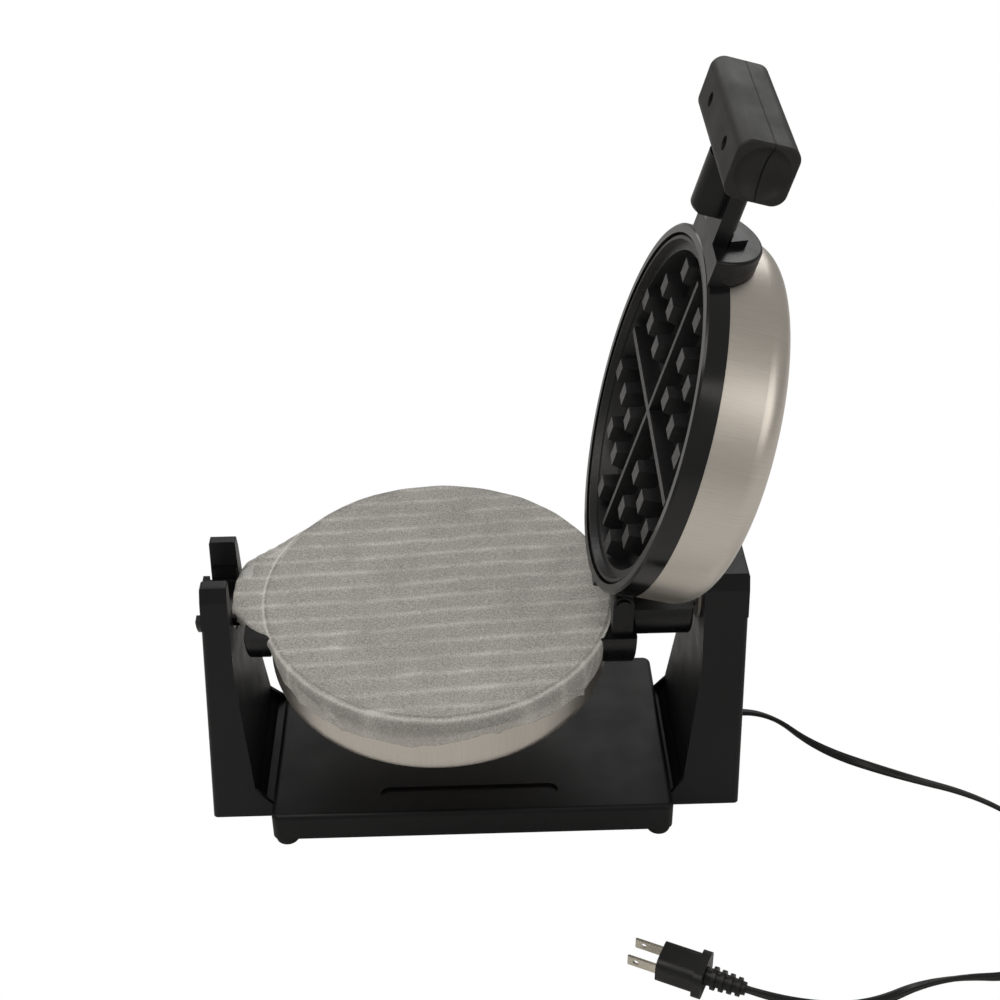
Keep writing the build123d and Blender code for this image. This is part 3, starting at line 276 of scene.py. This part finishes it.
# Foam packing film: cloudy grey-white with faint pale ribs along X and a fine cell speckle.
def foamFilm(name, look):
    material, shader = startMaterial(name, look["base"], 0.60)
    point = objectPoint(material)
    across, along, up = localPoint(material, headMatrix @ headMiddle)
    sway = math2(material, "MULTIPLY", noiseAt(material, point, 12.0, 3.0), look["wobble"])
    tilt = math2(material, "MULTIPLY", across, look["tilt"])
    row = math2(material, "ADD", math2(material, "ADD", along, sway), tilt)
    turn = math2(material, "MULTIPLY", row, 2.0 * math.pi / look["pitch"])
    # A rib is the top of a raised cosine: ((1 + cos(turn)) / 2) ^ 5.
    lifted = math2(material, "MULTIPLY_ADD", math2(material, "COSINE", turn, 0.0), 0.5)
    rib = math2(material, "POWER", lifted, 5.0)
    cells = noiseAt(material, point, 1050.0, 2.0, 0.6)
    cloud = noiseAt(material, point, 34.0, 5.0, 0.6)
    faint = math2(material, "MULTIPLY", rib, remap(material, cloud, 0.02, 0.22))
    radius = math2(material, "SQRT", math2(material, "ADD", math2(material, "MULTIPLY", across, across),
                                           math2(material, "MULTIPLY", along, along)), 0.0)
    # The fold over the ring: a painted highlight, a pale line along the fold's edge, with painted shade, a
    # darker line, inside it.
    flat = remap(material, up, 0.0, 1.0, -0.0045, -0.0020)
    edge = math2(material, "MULTIPLY", bandAt(material, radius, look["fold"], 0.0011), flat)
    paintedFoldShade = math2(material, "MULTIPLY", bandAt(material, radius, look["fold"] - 0.0018, 0.0011), flat)
    mixed = math2(material, "ADD", math2(material, "MULTIPLY", cells, 0.85),
                  math2(material, "ADD", math2(material, "MULTIPLY", cloud, 0.15), faint))
    # Painted highlight on the fold's edge, then painted shade just inside it; both also change the film's
    # alpha.
    mixed = math2(material, "ADD", mixed, math2(material, "MULTIPLY", edge, 0.30))
    mixed = math2(material, "ADD", mixed, math2(material, "MULTIPLY", paintedFoldShade, -0.12))
    join(material, ramp(material, mixed, [(0.28, look["base"]), (0.86, look["rib"])]),
         shader.inputs["Base Color"])
    clear = remap(material, mixed, look["alpha"] - 0.07, look["alpha"] + 0.18, 0.30, 0.85)
    thin = remap(material, up, look["hemClear"], 0.0, -0.0120, -0.0020)
    join(material, math2(material, "SUBTRACT", clear, thin), shader.inputs["Alpha"])
    first = bump(material, shader, rib, 0.0002, 0.5)
    bump(material, shader, cells, 0.0001, 0.5, first)
    shader.inputs["Specular IOR Level"].default_value = 0.30
    return material


filmLook = dict(base=(0.33, 0.325, 0.305), rib=(0.80, 0.785, 0.75), pitch=0.0130, wobble=0.007, tilt=-0.06,
                alpha=0.66, fold=0.1035, hemClear=0.20)

made = {name: mouldedPlastic(name, look) for name, look in plastics.items()}
made.update({name: plainMetal(name, look) for name, look in metals.items()})
made["coating"] = castCoating("coating", coatingLook)
made["lowerSteel"] = drumSteel("lowerSteel", steelLook, headMatrix)
made["upperSteel"] = drumSteel("upperSteel", steelLook, lidMatrix)
made["film"] = foamFilm("film", filmLook)
addSeam("gripBlack", lidMatrix, 0.135, 0.00045)
print("materials made")

nodeLooks = {
    "standBlack": ["base_tray", "base_cover", "left_tower_floor", "right_tower_floor"],
    "towerBlack": ["left_tower", "left_upper_cover", "left_saddle_cap", "right_tower", "right_tower_cap"],
    "shaftBlack": ["left_saddle_liner", "lower_half_shaft", "upper_half_shaft", "latch_tongue",
                   "hinge_bracket", "hinge_pin"],
    "ringBlack": ["lower_rim", "upper_rim"],
    "gripBlack": ["grip_inner_half", "grip_outer_half"],
    "footRubber": ["feet"],
    "cordVinyl": ["power_cord", "plug_body", "strain_relief"],
    "bushPolymer": ["trunnion_bush", "terminal_block"],
    "plainSteel": ["lower_element", "upper_element", "trunnion_shaft", "trunnion_retainer"],
    "brightSheet": ["lower_reflector", "upper_reflector", "lower_mount_plate", "upper_mount_plate"],
    "zincScrew": ["base_screws", "lower_grid_screws", "upper_grid_screws", "grip_screws",
                  "lower_thermostat", "upper_thermal_fuse"],
    "bladeMetal": ["plug_blades"],
    "coating": ["lower_grid", "upper_grid"],
    "lowerSteel": ["lower_shell"],
    "upperSteel": ["upper_shell"],
    "film": ["protective_film"],
}
for look, names in nodeLooks.items():
    for name in names:
        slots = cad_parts[name].data.materials
        slots.clear()
        slots.append(made[look])


def meshObject(name, points, faces, material):
    mesh = bpy.data.meshes.new(name)
    mesh.from_pydata([tuple(p) for p in points], [], faces)
    mesh.materials.append(material)
    mesh.shade_smooth()
    obj = bpy.data.objects.new(name, mesh)
    bpy.context.scene.collection.objects.link(obj)
    return obj


# The film: a polar sheet that lies on the ring, folds over its edge and hangs. Sizes are in metres.
# A hem is (degrees, length). A crease is (degrees, slope, height), which turns as it goes down.
film = dict(edge=0.1040, fold=0.0026, lift=0.0006, rings=110, spokes=480,
            tent=((-0.060, 0.0862), (-0.1190, 0.0290), (-0.1218, 0.0120), (-0.1212, -0.0130),
                  (-0.1030, -0.0330)),
            hingeX=0.0885, hingeHalf=0.043, hingeGap=0.0035, hingeDip=0.0008, ceiling=0.0004,
            thickness=0.0004, seed=7, creaseTurn=380.0, creaseReach=0.006,
            hems=((0, 0.010), (40, 0.007), (90, 0.006), (140, 0.005), (180, 0.003), (198, 0.005),
                  (212, 0.017), (232, 0.0205), (262, 0.0200), (276, 0.0175), (284, 0.0150), (300, 0.0165),
                  (322, 0.0215), (340, 0.013), (360, 0.010)),
            creases=((228, 1.6, 0.0016), (243, -1.6, 0.0012), (281, 1.4, 0.0018), (296, -1.0, 0.0010),
                     (309, 1.6, 0.0016), (216, 0.9, 0.0012), (330, -1.2, 0.0014)))


def filmSupport(angle):
    # Outline that carries the film: the ring, and a tent pulled out over the half disc.
    reach = np.full_like(angle, film["edge"])
    corners = np.array(film["tent"])
    for (x1, y1), (x2, y2) in zip(corners[:-1], corners[1:]):
        # Ray and line: r = cross(p1, p2 - p1) / cross(ray, p2 - p1), inside the two corners' angles.
        dx, dy = x2 - x1, y2 - y1
        meet = (x1 * dy - y1 * dx) / (np.cos(angle) * dy - np.sin(angle) * dx + 1e-12)
        low, high = np.arctan2(y1, x1) % (2.0 * np.pi), np.arctan2(y2, x2) % (2.0 * np.pi)
        reach = np.where((angle >= low) & (angle <= high), np.maximum(reach, meet), reach)
    # The corners are rounded by three passes of a short bell, with the ends joined up.
    soft = np.array([1.0, 3.0, 5.0, 6.0, 5.0, 3.0, 1.0])
    margin = 9
    padded = np.concatenate([reach[-margin:], reach, reach[:margin]])
    for _ in range(3):
        padded = np.convolve(padded, soft / soft.sum(), mode="same")
    return padded[margin:-margin]


def buildFilm():
    rng = np.random.default_rng(film["seed"])
    spokes, rings = film["spokes"], film["rings"]
    angle = np.linspace(0.0, 2.0 * np.pi, spokes, endpoint=False)
    degrees = np.degrees(angle)
    reach = filmSupport(angle)
    hem = np.interp(degrees, *zip(*film["hems"]))
    ripple = np.zeros_like(angle)
    for k in range(7, 60):
        a, b = rng.normal(size=2) / k ** 1.2
        ripple += a * np.cos(k * angle) + b * np.sin(k * angle)
    ripple /= np.abs(ripple).max()
    hem = hem * (1.0 + 0.05 * ripple)
    t = np.linspace(0.0, 1.0, rings) ** 0.8
    points = []
    fold = film["fold"]
    arc = fold * np.pi / 2.0
    for j in range(rings):
        s = t[j] * (reach + hem)
        flat = reach - fold
        over = np.clip(s - flat, 0.0, arc)
        turn = over / fold
        drop = np.clip(s - flat - arc, 0.0, None)
        # A crease is a ridge that slants as it goes down: exp(-((a - a0 - slope * drop) / width)^2).
        crease = np.zeros_like(angle)
        for place, slope, height in film["creases"]:
            away = degrees - place - slope * film["creaseTurn"] * drop
            # A ridge 1.3 degrees wide with a half as deep hollow beside it.
            crease += height * np.exp(-(away / 1.3) ** 2) - 0.5 * height * np.exp(-((away - 2.6) / 1.8) ** 2)
        hang = np.minimum(1.0, drop / film["creaseReach"])
        r = np.minimum(s, flat) + fold * np.sin(turn) + drop * (0.02 + 0.05 * ripple) + crease * hang
        r = np.where(drop > 0.0, np.maximum(r, reach + 0.0003), r)
        z = turnHeight - 0.001 + film["lift"] - fold * (1.0 - np.cos(turn)) - drop * 0.97
        # The ring's edge shows through the film as a low ridge.
        left = np.clip((-np.cos(angle) - 0.1) / 0.6, 0.0, 1.0)
        z = z + (0.0005 + 0.0009 * left) * np.exp(-((s - film["edge"] + 0.0022) / 0.0010) ** 2)
        # r = distance from the ring's centre, z = height before the head's lean.
        x, y = headX + r * np.cos(angle), r * np.sin(angle)
        z = z + 0.0004 * (np.sin(x * 190.0 + 1.0) * np.sin(y * 160.0)) * np.minimum(1.0, r / 0.02)
        onShelf = np.clip((s - film["edge"] - 0.002) / 0.006, 0.0, 1.0) * (degrees > 130) * (degrees < 225)
        crumple = (np.sin(520.0 * y + 160.0 * x) * np.sin(430.0 * x + 2.0)
                   + 0.6 * np.sin(900.0 * y - 700.0 * x))
        z = z + onShelf * (0.0010 + 0.0007 * crumple)
        # The film stays below the shut lid's parts, which end 1 mm above the turning height.
        z = np.minimum(z, turnHeight + film["ceiling"])
        # At the hinge the film ends before the bracket and lies flat.
        nearHinge = (np.abs(y) < film["hingeHalf"]) & (x > 0.0)
        x = np.where(nearHinge, np.minimum(x, film["hingeX"] - film["hingeGap"]), x)
        z = np.where(nearHinge, np.maximum(z, turnHeight - film["hingeDip"]), z)
        points.append(np.stack([x, y, z], 1))
    grid = np.concatenate(points)
    grid = np.concatenate([grid, np.ones((len(grid), 1))], 1) @ np.array(headMatrix).T
    faces = []
    for j in range(rings - 1):
        for i in range(spokes):
            k = (i + 1) % spokes
            faces.append((j * spokes + i, j * spokes + k, (j + 1) * spokes + k, (j + 1) * spokes + i))
    obj = meshObject("packingFilm", grid[:, :3], faces, made["film"])
    skin = obj.modifiers.new("thickness", "SOLIDIFY")
    skin.thickness = film["thickness"]
    skin.offset = 1.0
    return obj, float(np.sum((reach + hem) ** 2) * np.pi / spokes)


packingFilm, filmArea = buildFilm()
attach(packingFilm, "cooking_head")
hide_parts("protective_film")
print("film made")

# The lead: one NURBS line with the route's points, and a flat two-core section that twists.
cordPoints = [(0.174, 0.022, 0.014), (0.192, 0.022, 0.014), (0.220, -0.002, 0.0031),
              (0.262, -0.027, 0.0031), (0.318, -0.052, 0.0031), (0.350, -0.098, 0.0031),
              (0.347, -0.152, 0.0031), (0.306, -0.188, 0.0031), (0.250, -0.186, 0.0031),
              (0.206, -0.206, 0.0031), (0.164, -0.205, 0.0095), (0.1442, -0.1954, 0.0095)]
lead = dict(width=0.0058, thick=0.0034, sides=20, twists=3.5)


def cordSpline():
    curve = bpy.data.curves.new("leadLine", "CURVE")
    curve.dimensions = "3D"
    curve.resolution_u = 24
    spline = curve.splines.new("NURBS")
    spline.points.add(len(cordPoints) - 1)
    for point, place in zip(spline.points, cordPoints):
        point.co = (place[0] - boxMiddle[0], place[1] - boxMiddle[1], place[2], 1.0)
    spline.order_u = 3
    spline.use_endpoint_u = True
    return curve


def readLine(curve):
    holder = bpy.data.objects.new("leadLine", curve)
    bpy.context.scene.collection.objects.link(holder)
    mesh = bpy.data.meshes.new_from_object(holder)
    line = np.array([v.co[:] for v in mesh.vertices])
    bpy.data.objects.remove(holder)
    bpy.data.meshes.remove(mesh)
    return line


def buildLead():
    line = readLine(cordSpline())
    step = np.gradient(line, axis=0)
    step /= np.linalg.norm(step, axis=1)[:, None]
    along = np.concatenate([[0.0], np.cumsum(np.linalg.norm(np.diff(line, axis=0), axis=1))])
    share = along / along[-1]
    up = np.array([0.0, 0.0, 1.0])
    points = []
    for place, forward, u in zip(line, step, share):
        side = np.cross(forward, up)
        side /= np.linalg.norm(side)
        top = np.cross(side, forward)
        # Twist a(u) = 2 pi n u with a slow swing, so the flat section rolls along the floor.
        twist = math.pi * lead["twists"] * u + 0.5 * math.sin(9.0 * u)
        wide = math.cos(twist) * side + math.sin(twist) * top
        tall = -math.sin(twist) * side + math.cos(twist) * top
        for k in range(lead["sides"]):
            a = 2.0 * math.pi * k / lead["sides"]
            # Two round cores side by side: the waist dips at the middle.
            half = lead["thick"] / 2 * (1.0 - 0.22 * math.exp(-(math.cos(a) / 0.25) ** 2))
            points.append(place + wide * lead["width"] / 2 * math.cos(a) + tall * half * math.sin(a))
    sides = lead["sides"]
    faces = [(j * sides + i, j * sides + (i + 1) % sides, (j + 1) * sides + (i + 1) % sides,
              (j + 1) * sides + i) for j in range(len(line) - 1) for i in range(sides)]
    obj = meshObject("mainsLead", points, faces, made["cordVinyl"])
    return obj, line


mainsLead, leadLine = buildLead()
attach(mainsLead, "stand")
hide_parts("power_cord")
print("lead made")


# Floor, lights and camera.
def whiteToCamera(tree, kind, lit, surface):
    # The camera sees plain white; all other rays see the lit side.
    white = tree.nodes.new(kind)
    white.inputs["Color"].default_value = (1.0, 1.0, 1.0, 1.0)
    path = tree.nodes.new("ShaderNodeLightPath")
    mix = tree.nodes.new("ShaderNodeMixShader")
    tree.links.new(path.outputs["Is Camera Ray"], mix.inputs[0])
    tree.links.new(lit, mix.inputs[1])
    tree.links.new(white.outputs[0], mix.inputs[2])
    tree.links.new(mix.outputs[0], surface)


def makeStage():
    mesh = bpy.data.meshes.new("floor")
    half, height = 6.0, -0.0002
    corners = [(-half, -half, height), (half, -half, height), (half, half, height), (-half, half, height)]
    mesh.from_pydata(corners, [], [(0, 1, 2, 3)])
    material = bpy.data.materials.new("paleFloor")
    material.use_nodes = True
    tree = material.node_tree
    shader = tree.nodes["Principled BSDF"]
    shader.inputs["Base Color"].default_value = (0.82, 0.82, 0.82, 1.0)
    shader.inputs["Roughness"].default_value = 0.9
    surface = tree.nodes["Material Output"].inputs["Surface"]
    whiteToCamera(tree, "ShaderNodeEmission", shader.outputs[0], surface)
    mesh.materials.append(material)
    floor = bpy.data.objects.new("floor", mesh)
    bpy.context.scene.collection.objects.link(floor)


def areaLight(name, place, target, size, power, colour=(1.0, 1.0, 1.0)):
    light = bpy.data.lights.new(name, "AREA")
    light.shape = "RECTANGLE"
    light.size, light.size_y = size
    light.energy = power
    light.color = colour
    obj = bpy.data.objects.new(name, light)
    obj.location = place
    obj.rotation_euler = (Vector(target) - Vector(place)).to_track_quat("-Z", "Y").to_euler()
    bpy.context.scene.collection.objects.link(obj)


def makeLights():
    world = bpy.data.worlds.new("studio")
    world.use_nodes = True
    tree = world.node_tree
    background = tree.nodes["Background"]
    background.inputs["Color"].default_value = (1.0, 0.97, 0.93, 1.0)
    background.inputs["Strength"].default_value = 0.36
    surface = tree.nodes["World Output"].inputs["Surface"]
    whiteToCamera(tree, "ShaderNodeBackground", background.outputs[0], surface)
    bpy.context.scene.world = world
    areaLight("keyTop", (-0.5, -0.3, 1.5), (0.0, 0.0, 0.12), (1.3, 1.0), 9.0, (1.0, 0.97, 0.92))
    areaLight("fillRight", (1.2, -0.9, 0.9), (0.05, 0.0, 0.15), (0.9, 0.9), 3.0, (1.0, 0.97, 0.93))
    areaLight("backRim", (0.2, 1.4, 1.0), (0.0, 0.0, 0.15), (1.4, 0.6), 5.0)


# The fitted camera: place in metres, angles in degrees, focal length and middle in the photo's pixels.
cameraLook = dict(place=(0.00423, -0.76403, 0.70372), pitch=33.05, yaw=1.31, roll=0.67, focal=1600.7,
                  middle=(502.98, 487.64), side=1000.0, sensor=36.0)


def makeCamera():
    pitch, yaw, roll = (math.radians(cameraLook[k]) for k in ("pitch", "yaw", "roll"))
    forward = Vector((math.sin(yaw) * math.cos(pitch), math.cos(yaw) * math.cos(pitch), -math.sin(pitch)))
    right = Vector((math.cos(yaw), -math.sin(yaw), 0.0))
    down = forward.cross(right)
    imageRight = math.cos(roll) * right + math.sin(roll) * down
    imageDown = -math.sin(roll) * right + math.cos(roll) * down
    turn = Matrix((imageRight, -imageDown, -forward)).transposed().to_4x4()
    data = bpy.data.cameras.new("photoCamera")
    side, middle = cameraLook["side"], cameraLook["middle"]
    data.sensor_width = cameraLook["sensor"]
    data.lens = cameraLook["sensor"] * cameraLook["focal"] / side
    data.shift_x = (side / 2 - middle[0]) / side
    data.shift_y = (middle[1] - side / 2) / side
    camera = bpy.data.objects.new("photoCamera", data)
    camera.matrix_world = shiftAll @ Matrix.Translation(cameraLook["place"]) @ turn
    bpy.context.scene.collection.objects.link(camera)
    bpy.context.scene.camera = camera


makeStage()
makeLights()
makeCamera()
bpy.context.scene.view_settings.view_transform = "Standard"
print("stage, lights and camera made")
